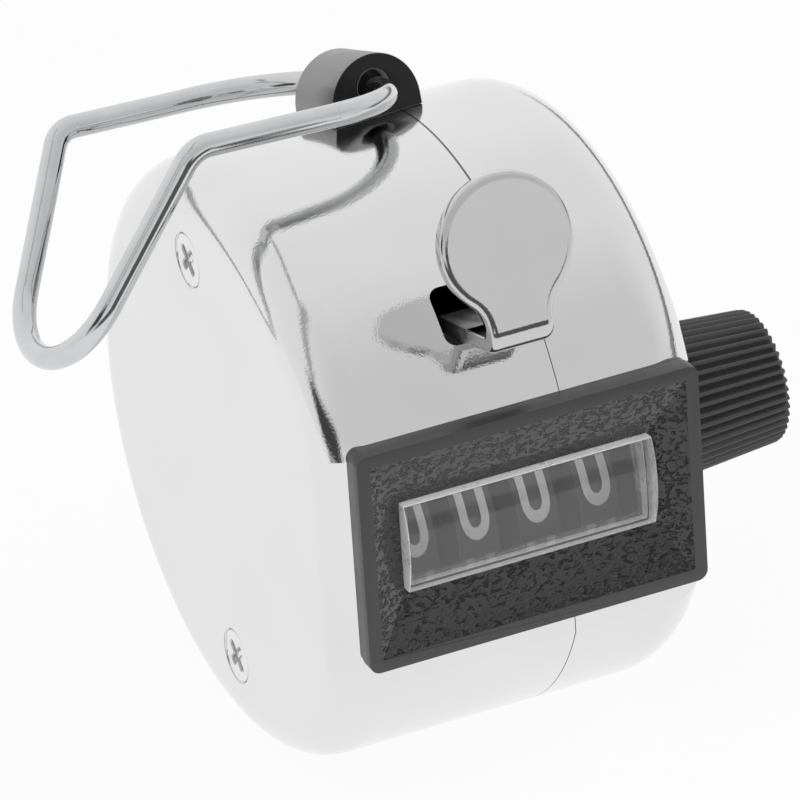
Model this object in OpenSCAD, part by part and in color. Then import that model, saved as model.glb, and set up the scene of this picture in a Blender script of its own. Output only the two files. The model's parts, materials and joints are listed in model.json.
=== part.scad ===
// Hand tally counter: a chrome drum case with a thumb lever, four number wheels
// behind a window, a reset knob and a folding finger ring.
// The origin is the centre of the left side face. X runs along the case axis to the knob,
// the window looks towards -Y and Z is up.

/* [Case] */
// Outer diameter of the round case
case_d = 45; // [40:0.5:52]
// Width of the case over its side faces
case_w = 30; // [27:0.5:36]
// Thickness of the pressed case wall
case_wall = 0.7; // [0.5:0.1:0.9]
// How far the flat front is cut into the round case
front_cut = 2; // [1.2:0.1:2.7]
// Edge radius of the left shell
left_fillet = 3.4; // [2.5:0.1:3.6]
// Edge radius of the right shell
right_fillet = 4.6; // [2.5:0.1:5]
// Distance of the seam past the right edge of the lever arm
seam_past_arm = 1; // [0.9:0.1:1.6]
// Open width of the seam between the shells
seam_gap = 0.06; // [0.04:0.01:0.2]
// Length of the lip on the right shell that fits inside the left shell
lip_len = 2; // [1:0.1:3]

/* [Bezel and window] */
// Width of the bezel
bezel_w = 26.8; // [25:0.1:28]
// Height of the bezel
bezel_h = 17.4; // [15:0.1:19]
// Height of the bezel rim above the flat front
bezel_t = 1.4; // [1.3:0.1:2.5]
// Width of the smooth rim around the sunk border
bezel_rim = 1; // [0.6:0.1:1.4]
// Corner radius of the bezel
bezel_corner_r = 0.8; // [0.4:0.1:2]
// Depth of the sunk border at the window
dish_depth = 1.3; // [0.6:0.1:1.3]
// Width of the window lens
window_w = 19.6; // [19:0.1:20.5]
// Height of the window lens
window_h = 6.95; // [6:0.05:8]
// Height of the window centre above the case axis
window_z = 1.7; // [0.5:0.05:2]
// Wall thickness of the lens
lens_wall = 0.9; // [0.6:0.1:1.2]
// How far the long edges of the lens lie below the rim
lens_sunk = 0.6; // [0:0.05:0.8]
// Rise of the crowned lens front between its long edges
lens_crown = 0.65; // [0.3:0.05:1]

/* [Number wheels] */
// Diameter of the number wheels
wheel_d = 20; // [19:0.1:20.2]
// Room between the digit bands of two wheels for the gear ring, pinion and carry finger
transfer_room = 1.63; // [1.6:0.01:1.9]
// Distance from the left side face to the middle of the first wheel
first_wheel_x = 8; // [7.9:0.05:8.2]
// Distance from the flat front back to the wheel shaft
shaft_depth = 14.7; // [14.5:0.1:15.3]
// Height of the wheel shaft above the case axis
shaft_z = -1.6; // [-1.85:0.05:-1.35]
// Diameter of the wheel shaft
shaft_d = 3; // [2.5:0.1:3.2]
// Teeth on the gear ring of a wheel
gear_teeth = 20; // [20]
// Teeth on a transfer pinion
pinion_teeth = 8; // [8]
// Tooth module of the gear rings and pinions
gear_module = 0.8; // [0.79:0.01:0.82]
// Direction from the wheel shaft to the pinion shaft, from straight back
pinion_angle = -100; // [-104:1:-96]
// Diameter of the pinion shaft
pinion_shaft_d = 1.6; // [1.2:0.1:1.8]
// Tip diameter of the ratchet on the units wheel
ratchet_d = 16.4; // [16:0.1:16.6]
// Depth of the ratchet teeth
ratchet_depth = 1.3; // [1.1:0.1:1.4]

/* [Thumb lever] */
// Diameter of the thumb paddle
paddle_d = 10.2; // [9:0.1:12]
// Distance from the fold of the lever to the paddle centre
paddle_rise = 7.8; // [7:0.1:9]
// Width of the neck and arm
arm_w = 4.9; // [4:0.1:5.2]
// Thickness of the lever sheet
lever_t = 1.2; // [0.9:0.1:1.3]
// Direction from the wheel shaft to the lever pivot, from straight back
pivot_angle = 138.4; // [136:0.2:141]
// Room between the pivot pin and the number wheels for the return spring
pivot_room = 0.71; // [0.65:0.01:0.9]
// Lean of the paddle at rest
lever_lean = 16.5; // [15:0.5:18]
// Slope of the arm from the fold down into the case
arm_slope = 12; // [10.5:0.5:13.5]
// Distance of the arm to the left of the middle of the case
lever_left = 0.25; // [0:0.05:0.5]
// Distance of the fold in front of the flat front
fold_out = 2.4; // [2.2:0.1:2.7]
// Distance of the fold below the top of the case
fold_down = 6.9; // [6.7:0.1:7.2]
// Diameter of the pivot pin
pivot_d = 1.6; // [1.3:0.1:1.7]
// Travel of the lever
lever_travel = 15; // [15]

/* [Finger ring] */
// Diameter of the ring wire
wire_d = 1.75; // [1.4:0.05:2]
// Width of the ring between its wire centres
ring_w = 19.8; // [18:0.1:21]
// Distance of the bend outside the left side face
ring_out = 3.3; // [3.1:0.1:4.8]
// Length of the lower part from the bend to its round end
ring_drop = 16.6; // [15:0.1:19]
// Angle of the bend
ring_bend = 58; // [45:0.5:65]
// Radius of the round end
ring_end_r = 6.5; // [5:0.1:7.5]
// Height of the hinge above the case
hinge_rise = 2; // [1.9:0.1:2.8]
// Angle of the ferrule behind the top of the case
ferrule_angle = 17; // [12:0.5:18]
// Angle by which the ferrule stands turned on the case
ferrule_turn = 8; // [4:0.5:12]
// Lift of the ring at rest
ring_lift = 3; // [0:0.5:6]
// Length of the ferrule
ferrule_len = 5.5; // [5:0.1:7]
// Width of the ferrule
ferrule_w = 7.4; // [6.5:0.1:8]

/* [Reset knob] */
// Diameter of the knob over its ribs, at the case
knob_d = 11.9; // [9:0.1:12]
// Diameter of the knob over its ribs, at its end
knob_end_d = 10.1; // [9:0.1:12]
// Length of the knob
knob_len = 10.8; // [8:0.1:13]
// Number of ribs
knob_ribs = 44; // [36:1:60]
// Depth of the grooves between the ribs
rib_depth = 0.35; // [0.2:0.05:0.5]

/* [Screws and posts] */
// Distance of the case screws from the round edge of the case
screw_in = 6.9; // [6.8:0.1:7.4]
// Distance of the middle between the case screws behind the case axis
screw_y = 1; // [0:0.1:1.5]
// How far the upper screw is set back, and the lower one forward, from that middle
screw_skew = 1.6; // [1:0.1:2]
// Head diameter of the case screws
screw_head_d = 4.2; // [3.6:0.1:4.4]
// Shank diameter of the case screws
screw_d = 2.1; // [1.8:0.1:2.4]
// Diameter of the posts that take the screws
post_d = 4.4; // [4.4:0.1:5]

/* [Clearances] */
// Radial clearance of a turning fit
run_fit = 0.05; // [0.03:0.01:0.1]
// Radial clearance of a fixed fit
fix_fit = 0.02; // [0.01:0.01:0.04]
// Gap between parts that move past each other
side_gap = 0.1; // [0.08:0.01:0.12]
// Gap between a spring tip and the teeth it holds
spring_gap = 0.15; // [0.1:0.01:0.2]

/* [Hidden] */
$fn = 64;
case_r = case_d / 2;
front_y = case_r - front_cut;
screw_z = case_r - screw_in;
lever_x = case_w / 2 - lever_left;
ferrule_right = 1;
ferrule_x = case_w / 2 + ferrule_right;
ring_leg = ferrule_x + ring_out;
seam_x = lever_x + arm_w / 2 + seam_past_arm;
seat_gap = 0.03;
big = 80;

// Bezel and window
bezel_left = 0.1;
bezel_x = case_w / 2 - bezel_left;
bezel_z = 1.56;
bezel_wall = 1.3;
bezel_skirt = 0.6;
base_step = 0.08;
window_left = 0.1;
window_x = case_w / 2 - window_left;
rim_y = front_y + bezel_t;
lens_gap = 0.05;
spigot_wall = 0.7;
spigot_len = 1;
spigot_y = front_y - case_wall - spigot_len;
opening_gap = 0.1;
opening_w = window_w + 2 * (lens_gap + spigot_wall + opening_gap);
opening_h = window_h + 2 * (lens_gap + spigot_wall + opening_gap);
flange_w = 0.6;
flange_t = 0.6;
lens_front_t = 1.1;
crown_r = (window_h * window_h / 4 + lens_crown * lens_crown) / (2 * lens_crown);

// Wheel train, worked out from the first wheel to the right
wheel_n = 4;
end_room = 15.51;
wheel_pitch = (case_w - end_room) / (wheel_n - 1);
digit_band_w = wheel_pitch - transfer_room;
shaft_y = -(front_y - shaft_depth);
shaft_r = shaft_d / 2;
wheel_r = wheel_d / 2;
band_half = digit_band_w / 2;
gear_w = 0.7;
finger_w = 0.6;
hub_r = 2.8;
hub_half = (wheel_pitch - side_gap) / 2;
last_wheel_x = first_wheel_x + (wheel_n - 1) * wheel_pitch;
gear_r = gear_teeth * gear_module / 2;
pinion_r = pinion_teeth * gear_module / 2;
tooth_up = 0.6;
tooth_down = 0.9;
finger_disc_r = 6.6;
finger_r = gear_r;
pinion_y = shaft_y + (gear_r + pinion_r) * cos(pinion_angle);
pinion_z = shaft_z + (gear_r + pinion_r) * sin(pinion_angle);
pinion_shaft_r = pinion_shaft_d / 2;
pinion_hub_r = 1.6;
ratchet_r = ratchet_d / 2;
ratchet_w = 0.8;
ratchet_x = last_wheel_x + band_half;
train_end_x = ratchet_x + ratchet_w + side_gap;

// Frame
plate_t = 0.8;
cheek_t = 0.6;
left_plate_x = first_wheel_x - hub_half - 1.6 - plate_t;
right_cheek_x = train_end_x + side_gap;
right_plate_x = right_cheek_x + cheek_t + 0.5;
plate_r = case_r - case_wall - 1.2;
plate_front = front_y - case_wall - spigot_len - 0.1;
plate_back = shaft_y + 20.8;
pillar_r = 1.4;
stud_r = 0.8;
lighten_r = 2.6;
lighten_low = [8.8, -7.65];
lighten_high = [-0.7, 13.85];
pillars = [[shaft_y - 8.5, shaft_z - 8.25], [shaft_y + 16.8, shaft_z + 7.85], [shaft_y + 15.3, shaft_z - 8.65]];
spacer_r = 2;
clip_t = 0.4;
clip_r = 2.8;
clip_groove = 0.3;
bush_r = 2.6;
bush_flange_r = 3.6;
bush_flange_t = 0.8;

// Lever, drawn with its fold at the origin, the arm running back and the paddle standing up
fold_y = -(front_y + fold_out);
fold_z = case_r - fold_down;
pivot_r = pivot_d / 2;
pivot_to_shaft = wheel_r + pivot_r + pivot_room;
pivot_y = shaft_y + pivot_to_shaft * cos(pivot_angle);
pivot_z = shaft_z + pivot_to_shaft * sin(pivot_angle);
arm_len = (pivot_y - fold_y) * cos(arm_slope) - (pivot_z - fold_z) * sin(arm_slope);
arm_drop = -(pivot_y - fold_y) * sin(arm_slope) - (pivot_z - fold_z) * cos(arm_slope);
fold_angle = 90 - lever_lean + arm_slope;
ear_r = pivot_r + 1.1;
left_cheek_x = left_plate_x + plate_t + 0.4;
yoke_top = 2.2;
yoke_low = arm_drop - pivot_r - 0.7;
bend_r = 1.7;
bend_in = bend_r / tan(fold_angle / 2);
arm_mid_y = fold_y + lever_t / 2 * sin(arm_slope);
arm_mid_z = fold_z + lever_t / 2 * cos(arm_slope);
arm_in = arm_mid_z * sin(arm_slope) - arm_mid_y * cos(arm_slope);
arm_cut = arm_in - sqrt(arm_in * arm_in - arm_mid_y * arm_mid_y - arm_mid_z * arm_mid_z + case_r * case_r);
slot_lead = 3.8;
slot_angle = slot_lead
    + atan2(arm_mid_z - arm_cut * sin(arm_slope), -(arm_mid_y + arm_cut * cos(arm_slope)));
slot_h = 4.5;
slot_r = 0.9;
slot_past = 0.4;
slot_x = lever_x - arm_w / 2 - 1.2;

// Drive pawl, hooked on the far side of the ratchet as seen from the pivot
drive_angle = atan2(shaft_z - pivot_z, shaft_y - pivot_y);
hook_clear = 0.2;
hook_reach = pivot_to_shaft + ratchet_r + hook_clear;
hook_y = pivot_y + hook_reach * cos(drive_angle + lever_travel / 2);
hook_z = pivot_z + hook_reach * sin(drive_angle + lever_travel / 2);
hook_dir = atan2(hook_z - shaft_z, hook_y - shaft_y);
pawl_len = 9;
pawl_y = hook_y - pawl_len * sin(hook_dir);
pawl_z = hook_z + pawl_len * cos(hook_dir);
pawl_t = 0.6;
pawl_x = ratchet_x + (ratchet_w - pawl_t) / 2;
pawl_pin_r = 0.7;
hook_w = 1;
hook_lead = 5.5;
pawl_arm_in = 0.7;
pawl_arm_out = 2.2;
pawl_boss_r = 1.7;
leaf_t = 0.3;

// Springs
coil_wire_r = 0.18;
coil_r = pivot_r + 0.12 + coil_wire_r;
coil_turns = 4;
coil_pitch = 0.9;
coil_x = left_cheek_x + cheek_t + 0.4;
coil_leg = 4;
comb_t = 0.3;
click_foot = 1.5;
click_past = 0.5;
leaf_short = 2;
leaf_foot = 1.4;
leaf_back = 0.6;
comb_h = 5;

// Finger ring and ferrule
wire_r = wire_d / 2;
hinge_r = case_r + hinge_rise;
hinge_y = hinge_r * sin(ferrule_angle);
hinge_z = hinge_r * cos(ferrule_angle);
ring_half = ring_w / 2;
mouth_depth = 1;
ring_corner_r = ring_half - ferrule_len / 2 + mouth_depth / 2;
ring_bend_r = 2.2;
ring_stub = 0.45;
// Wire and sheet swell a hair in their bends, and the straight runs lap into them
bend_swell = 0.01;
bend_lap = 0.1;
arch_drop = 1.2;
mouth_r = wire_r + 0.5;
stem_w = 3;
stem_left = 0.6;
stem_len = 3.4;
stem_deep = 2.2;

// Knob and screws
knob_gap = 0.3;
knob_x = case_w + knob_gap;
knob_chamfer = 0.3;
knob_bore = 8;
head_depth = (screw_head_d - screw_d) / 2;
head_sink = 0.05;
screw_len = 7;
recess_w = 0.55;
recess_l = 2.3;
recess_deep = 0.7;

chrome = [0.84, 0.85, 0.86];
nickel = [0.72, 0.72, 0.7];
steel = [0.6, 0.61, 0.63];
black = [0.16, 0.16, 0.17];
brass_tone = [0.78, 0.65, 0.36];
clear_tone = [0.85, 0.9, 0.92, 0.4];

// A profile in Y and Z, drawn out along X from x0
module along_x(x0, t) {
    translate([x0, 0, 0]) rotate([90, 0, 90]) linear_extrude(t) children();
}

// A round bar along X
module bar(x0, x1, y, z, r) {
    translate([x0, y, z]) rotate([0, 90, 0]) cylinder(h = x1 - x0, r = r);
}

// A rectangle that starts at the origin, with its two far corners rounded by a and b
module two_corner_plate(w, h, a, b) {
    square([w - max(a, b), h]);
    translate([0, a]) square([w, h - a - b]);
    square([w - a, h - b]);
    translate([0, a]) square([w - b, h - a]);
    translate([w - a, a]) circle(a);
    translate([w - b, h - b]) circle(b);
}

// The outside of the case, set in by a wall thickness
module case_form(inset) {
    left_r = left_fillet - inset;
    right_r = right_fillet - inset;
    w = case_w - 2 * inset;
    intersection() {
        translate([inset, 0, 0]) rotate([0, 90, 0]) rotate_extrude($fn = 128)
            two_corner_plate(case_r - inset, w, left_r, right_r);
        translate([inset, 0, -big / 2]) linear_extrude(big) rotate(-90) mirror([0, 0])
            translate([-case_d, 0]) two_corner_plate(case_d + front_y - inset, w, left_r, right_r);
    }
}

// Opening in the flat front behind the bezel
module window_opening() {
    translate([window_x - opening_w / 2, -case_r - 1, window_z - opening_h / 2])
        cube([opening_w, front_cut + case_wall + 2, opening_h]);
}

// Slot in the case wall that the lever moves in, open at the seam
module lever_slot() {
    slot_w = seam_x + slot_past - slot_x;
    rotate([-slot_angle, 0, 0]) translate([slot_x, -case_r - 1, -slot_h / 2])
        rotate([-90, 0, 0]) translate([0, -slot_h, 0]) linear_extrude(case_wall + 4)
            rotate(180) translate([-slot_w, -slot_h]) two_corner_plate(slot_w, slot_h, slot_r, slot_r);
}

// Place a child in the frame of the ferrule: X to the left, Y to the front, Z out of the case
module at_ferrule() {
    translate([ferrule_x, hinge_y, hinge_z]) rotate([-ferrule_angle, 0, 0]) rotate(180 + ferrule_turn) children();
}

module screw_places() {
    for (side = [-1, 1]) translate([0, screw_y + side * screw_skew, side * screw_z]) children();
}

// Tapered seat of a countersunk head
module head_cone(grow) {
    translate([head_sink - grow, 0, 0]) rotate([0, 90, 0])
        cylinder(h = head_depth + grow, r1 = screw_head_d / 2 + grow, r2 = screw_d / 2 + grow);
}

module left_shell() {
    color(chrome) difference() {
        intersection() {
            case_form(0);
            translate([-1, -big / 2, -big / 2]) cube([seam_x + 1, big, big]);
        }
        case_form(case_wall);
        window_opening();
        lever_slot();
        screw_places() {
            head_cone(seat_gap);
            bar(-1, head_sink, 0, 0, screw_head_d / 2 + seat_gap);
            bar(0, case_wall + 1, 0, 0, screw_d / 2 + run_fit);
        }
        at_ferrule() translate([stem_left, 0, -hinge_rise - stem_deep])
            cube([stem_w + 2 * side_gap, stem_len + 2 * side_gap, 2 * stem_deep], center = true);
    }
}

module right_shell() {
    lip_wall = 0.5;
    color(chrome) difference() {
        union() {
            difference() {
                intersection() {
                    case_form(0);
                    translate([seam_x + seam_gap, -big / 2, -big / 2]) cube([big, big, big]);
                }
                case_form(case_wall);
            }
            difference() {
                intersection() {
                    case_form(case_wall + seat_gap);
                    translate([seam_x - lip_len, -big / 2, -big / 2]) cube([lip_len + seam_gap, big, big]);
                }
                case_form(case_wall + seat_gap + lip_wall);
            }
            difference() {
                intersection() {
                    case_form(case_wall / 2);
                    translate([seam_x + seam_gap, -big / 2, -big / 2]) cube([lip_len, big, big]);
                }
                case_form(case_wall + seat_gap + lip_wall);
            }
        }
        window_opening();
        lever_slot();
        bar(case_w - 2, case_w + 1, shaft_y, shaft_z, bush_r + fix_fit);
        at_ferrule() translate([stem_left, 0, -hinge_rise - stem_deep])
            cube([stem_w + 2 * side_gap, stem_len + 2 * side_gap, 4 * stem_deep], center = true);
    }
}

// Rounded plate of the bezel, from one depth to another, set in all round
module bezel_block(y_back, y_front, inset) {
    r = bezel_corner_r;
    w = bezel_w - 2 * inset;
    h = bezel_h - 2 * inset;
    translate([bezel_x, -y_back, bezel_z]) rotate([90, 0, 0]) linear_extrude(y_front - y_back) {
        square([w - 2 * r, h], center = true);
        square([w, h - 2 * r], center = true);
        for (sx = [-1, 1], sz = [-1, 1])
            translate([sx * (w / 2 - r), sz * (h / 2 - r)]) circle(r);
    }
}

// The border that slopes from the rim down to the window
module bezel_dish() {
    lift = 0.5;
    slope_in = lift / dish_depth;
    x0 = bezel_x - bezel_w / 2 + bezel_rim;
    x1 = bezel_x + bezel_w / 2 - bezel_rim;
    z0 = bezel_z - bezel_h / 2 + bezel_rim;
    z1 = bezel_z + bezel_h / 2 - bezel_rim;
    u0 = window_x - window_w / 2 - lens_gap;
    u1 = window_x + window_w / 2 + lens_gap;
    v0 = window_z - window_h / 2 - lens_gap;
    v1 = window_z + window_h / 2 + lens_gap;
    yb = -(rim_y - dish_depth);
    yf = -(rim_y + lift);
    a0 = x0 + (x0 - u0) * slope_in;
    a1 = x1 + (x1 - u1) * slope_in;
    b0 = z0 + (z0 - v0) * slope_in;
    b1 = z1 + (z1 - v1) * slope_in;
    polyhedron(
        [[u0, yb, v0], [u1, yb, v0], [u1, yb, v1], [u0, yb, v1],
         [a0, yf, b0], [a1, yf, b0], [a1, yf, b1], [a0, yf, b1]],
        [[0, 1, 2, 3], [7, 6, 5, 4], [4, 5, 1, 0], [5, 6, 2, 1], [6, 7, 3, 2], [7, 4, 0, 3]]);
}

module bezel() {
    hole_w = window_w + 2 * lens_gap;
    hole_h = window_h + 2 * lens_gap;
    color(black) difference() {
        union() {
            difference() {
                union() {
                    bezel_block(rim_y - bezel_wall, rim_y, 0);
                    bezel_block(front_y - bezel_skirt, rim_y - bezel_wall + 0.1, base_step);
                }
                case_form(-seat_gap);
            }
            translate([window_x - hole_w / 2 - spigot_wall, -front_y - bezel_t / 4, window_z - hole_h / 2 - spigot_wall])
                cube([hole_w + 2 * spigot_wall, front_y + bezel_t / 4 - spigot_y, hole_h + 2 * spigot_wall]);
        }
        bezel_dish();
        translate([window_x - hole_w / 2, -rim_y - 1, window_z - hole_h / 2])
            cube([hole_w, rim_y + 2 - spigot_y, hole_h]);
    }
}

module window_lens() {
    edge_y = -(rim_y - lens_sunk);
    flange_y = -spigot_y + seat_gap;
    color(clear_tone) difference() {
        union() {
            along_x(window_x - window_w / 2, window_w) intersection() {
                translate([edge_y - lens_crown, window_z - window_h / 2])
                    square([flange_y + flange_t - edge_y + lens_crown, window_h]);
                translate([edge_y - lens_crown + crown_r, window_z]) circle(crown_r, $fn = 128);
            }
            translate([window_x - window_w / 2 - flange_w, flange_y, window_z - window_h / 2 - flange_w])
                cube([window_w + 2 * flange_w, flange_t, window_h + 2 * flange_w]);
        }
        translate([window_x - window_w / 2 + lens_wall, edge_y + lens_front_t, window_z - window_h / 2 + lens_wall])
            cube([window_w - 2 * lens_wall, front_y, window_h - 2 * lens_wall]);
    }
}

module case_screws() {
    color(steel) screw_places() difference() {
        union() {
            head_cone(0);
            bar(head_sink, screw_len, 0, 0, screw_d / 2);
        }
        for (turn = [0, 90]) rotate([turn + 45, 0, 0])
            translate([0, -recess_l / 2, -recess_w / 2]) cube([recess_deep, recess_l, recess_w]);
    }
}

module ring_ferrule() {
    arch_r = ferrule_w / 2;
    color(black) difference() {
        at_ferrule() {
            translate([0, ferrule_len / 2, 0]) rotate([90, 0, 0]) linear_extrude(ferrule_len) {
                translate([0, -arch_drop]) circle(arch_r);
                translate([-arch_r, -hinge_rise - 1.2]) square([ferrule_w, hinge_rise + 1.2 - arch_drop]);
            }
        }
        rotate([0, 90, 0]) translate([0, 0, -1]) cylinder(h = case_w + 2, r = case_r + seat_gap, $fn = 128);
        at_ferrule() rotate([90, 0, 0]) {
            translate([0, 0, -ferrule_len]) cylinder(h = 2 * ferrule_len, r = wire_r + run_fit);
            for (end = [0, 1]) mirror([0, 0, end]) translate([0, 0, ferrule_len / 2 - mouth_depth])
                cylinder(h = mouth_depth + 1, r = mouth_r);
        }
    }
    color(black) at_ferrule() translate([stem_left, 0, -hinge_rise - stem_deep / 2 + 0.3])
        cube([stem_w, stem_len, stem_deep + 0.6], center = true);
}

// A wire through corner points, each corner rounded to its own radius
function unit(v) = v / norm(v);
function corner_angle(a, b) = acos(max(-1, min(1, unit(a) * unit(b))));

module wire_bend(p0, p1, p2, bend, r) {
    d1 = unit(p1 - p0);
    d2 = unit(p2 - p1);
    turn = corner_angle(d1, d2);
    axis = unit(cross(d1, d2));
    out = unit(d1 - d2);
    centre = p1 - out * bend / cos(turn / 2);
    start = unit(p1 - d1 * bend * tan(turn / 2) - centre);
    side = cross(axis, start);
    multmatrix([[start.x, side.x, axis.x, centre.x], [start.y, side.y, axis.y, centre.y],
                [start.z, side.z, axis.z, centre.z], [0, 0, 0, 1]])
        rotate_extrude(angle = turn, $fn = 96) translate([bend, 0]) circle(r, $fn = 32);
}

module wire_run(a, b, r) {
    d = b - a;
    tilt = acos(d.z / norm(d));
    translate(a) rotate([0, tilt, atan2(d.y, d.x)]) cylinder(h = norm(d), r = r, $fn = 32);
}

function setback(p0, p1, p2, bend) = bend * tan(corner_angle(p1 - p0, p2 - p1) / 2);

module wire_path(pts, bends, r) {
    last = len(pts) - 1;
    for (i = [0 : last - 1]) {
        d = unit(pts[i + 1] - pts[i]);
        back = i == 0 ? 0 : setback(pts[i - 1], pts[i], pts[i + 1], bends[i]) - bend_lap;
        ahead = i == last - 1 ? 0 : setback(pts[i], pts[i + 1], pts[i + 2], bends[i + 1]) - bend_lap;
        wire_run(pts[i] + d * back, pts[i + 1] - d * ahead, r - bend_swell);
    }
    for (i = [1 : last - 1]) wire_bend(pts[i - 1], pts[i], pts[i + 1], bends[i], r);
}

// The legs run out from the ferrule, bend down over the side of the case and close in a round end
module finger_ring() {
    down = [cos(ring_bend), 0, -sin(ring_bend)];
    to_end = ring_drop - ring_end_r;
    spread = norm([to_end, ring_half]);
    draw_in = atan2(ring_half, to_end) - asin(ring_end_r / spread);
    apex = [ring_leg, 0, 0] + down * ring_half / tan(draw_in);
    color(chrome) at_ferrule() rotate([0, -ring_lift, 0])
        wire_path(
            [[0, ring_stub, 0], [0, ring_half, 0], [ring_leg, ring_half, 0], apex,
             [ring_leg, -ring_half, 0], [0, -ring_half, 0], [0, -ring_stub, 0]],
            [0, ring_corner_r, ring_bend_r, ring_end_r, ring_bend_r, ring_corner_r, 0], wire_r);
}

// Lever frame: the fold at the origin and the arm back along +Y, or the paddle up along +Z
module at_fold(lean) {
    translate([0, fold_y, fold_z]) rotate([-lean, 0, 0]) children();
}

// Outline of the paddle and neck, with fillets where the round paddle meets the neck
module paddle_outline() {
    r = paddle_d / 2;
    neck = arm_w / 2 - bend_swell;
    fillet = 3;
    // The corner fill stops just short of where its curves run out
    short = 0.9;
    start = 0.4;
    fx = neck + fillet;
    fz = paddle_rise - sqrt((r + fillet) * (r + fillet) - fx * fx);
    translate([0, paddle_rise]) circle(r, $fn = 96);
    translate([-neck, bend_in - bend_lap]) square([2 * neck, paddle_rise - bend_in + bend_lap]);
    difference() {
        touch = short * fx * r / (r + fillet);
        translate([-touch, fz + start]) square([2 * touch, paddle_rise - fz - start]);
        for (side = [-1, 1]) translate([side * fx, fz]) circle(fillet, $fn = 96);
    }
}

// The folded strip seen from the side: paddle foot, fold, arm and the web down to the yoke
module lever_strip() {
    inner_r = bend_r - lever_t + 0.1;
    web_y = arm_len - lever_t / 2;
    difference() {
        translate([bend_in, bend_r]) circle(bend_r);
        translate([bend_in, bend_r]) circle(bend_r - lever_t);
        translate([bend_in, 0]) square(2 * bend_r);
        rotate(fold_angle) translate([bend_in, -2 * bend_r]) square(2 * bend_r);
    }
    translate([bend_in, 0]) square([web_y + lever_t - bend_r - bend_in, lever_t]);
    difference() {
        translate([web_y + lever_t - bend_r, lever_t - bend_r]) circle(bend_r);
        translate([web_y + lever_t - bend_r, lever_t - bend_r]) circle(bend_r - lever_t);
        translate([web_y - 2 * bend_r, lever_t - 2 * bend_r - inner_r]) square([4 * bend_r, bend_r + inner_r]);
        translate([web_y + lever_t - 3 * bend_r, -3 * bend_r]) square([2 * bend_r, 5 * bend_r]);
    }
    translate([web_y, -yoke_top - 0.5]) square([lever_t, yoke_top + 0.5 + lever_t - bend_r]);
}

// The side cheek that reaches from the pivot to the pawl, over the wheel shaft
module pawl_cheek() {
    reach = norm([pawl_y - pivot_y, pawl_z - pivot_z]);
    along_x(right_cheek_x, cheek_t) {
        translate([pivot_y, pivot_z]) circle(ear_r);
        translate([pawl_y, pawl_z]) circle(pawl_arm_out + leaf_t + spring_gap + 0.3);
        translate([pivot_y, pivot_z]) rotate(atan2(pawl_z - pivot_z, pawl_y - pivot_y))
            translate([0, -0.9]) square([reach, 2.6]);
    }
}

module thumb_lever() {
    web_y = arm_len - lever_t / 2;
    yoke_w = right_cheek_x + cheek_t - left_cheek_x;
    color(nickel) difference() {
        union() {
            at_fold(lever_lean)
                translate([lever_x, lever_t - bend_swell, 0]) rotate([90, 0, 0])
                    linear_extrude(lever_t - 2 * bend_swell) paddle_outline();
            at_fold(arm_slope) {
                along_x(lever_x - arm_w / 2, arm_w) lever_strip();
                translate([left_cheek_x, web_y, -yoke_low]) cube([yoke_w, lever_t, yoke_low - yoke_top]);
                along_x(left_cheek_x, cheek_t) {
                    translate([arm_len, -arm_drop]) circle(ear_r);
                    translate([web_y, -arm_drop]) square([lever_t, arm_drop - yoke_top]);
                }
                along_x(right_cheek_x, cheek_t)
                    translate([web_y, -arm_drop]) square([lever_t, arm_drop - yoke_top]);
            }
            pawl_cheek();
        }
        bar(left_cheek_x - 1, right_cheek_x + 2, pivot_y, pivot_z, pivot_r + run_fit);
        bar(right_cheek_x - 1, right_cheek_x + 2, pawl_y, pawl_z, pawl_pin_r + fix_fit);
    }
}

// Ribbed outline of the knob
function rib_points(r) = [for (i = [0 : knob_ribs - 1], s = [0 : 3])
    let (a = 360 / knob_ribs * (i + [-0.32, -0.16, 0.16, 0.32][s]),
         d = s == 1 || s == 2 ? r : r - rib_depth)
    [d * cos(a), d * sin(a)]];

module reset_knob() {
    r = knob_d / 2;
    color(black) translate([knob_x, shaft_y, shaft_z]) rotate([0, 90, 0]) difference() {
        intersection() {
            linear_extrude(knob_len, scale = knob_end_d / knob_d) polygon(rib_points(r));
            union() {
                cylinder(h = knob_len - knob_chamfer, r = knob_d);
                translate([0, 0, knob_len - knob_chamfer])
                    cylinder(h = knob_chamfer, r1 = knob_end_d / 2, r2 = knob_end_d / 2 - knob_chamfer);
            }
        }
        translate([0, 0, -1]) cylinder(h = knob_bore + 1, r = shaft_r + fix_fit);
    }
}

// Gear outline with straight-sided teeth, one tooth on the +X side
function gear_points(n, tip, root, tip_w, root_w, step) = [for (i = [0 : step : n - 1], s = [0 : 3])
    let (a = 360 / n * i, r = s == 1 || s == 2 ? tip : root,
         half = (s == 1 || s == 2 ? tip_w : root_w) / r * 90 / PI,
         b = a + (s < 2 ? -half : half))
    [r * cos(b), r * sin(b)]];

module gear_ring() {
    polygon(gear_points(gear_teeth, gear_r + tooth_up, gear_r - tooth_down, 0.45, 1.35, 1));
}

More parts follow.
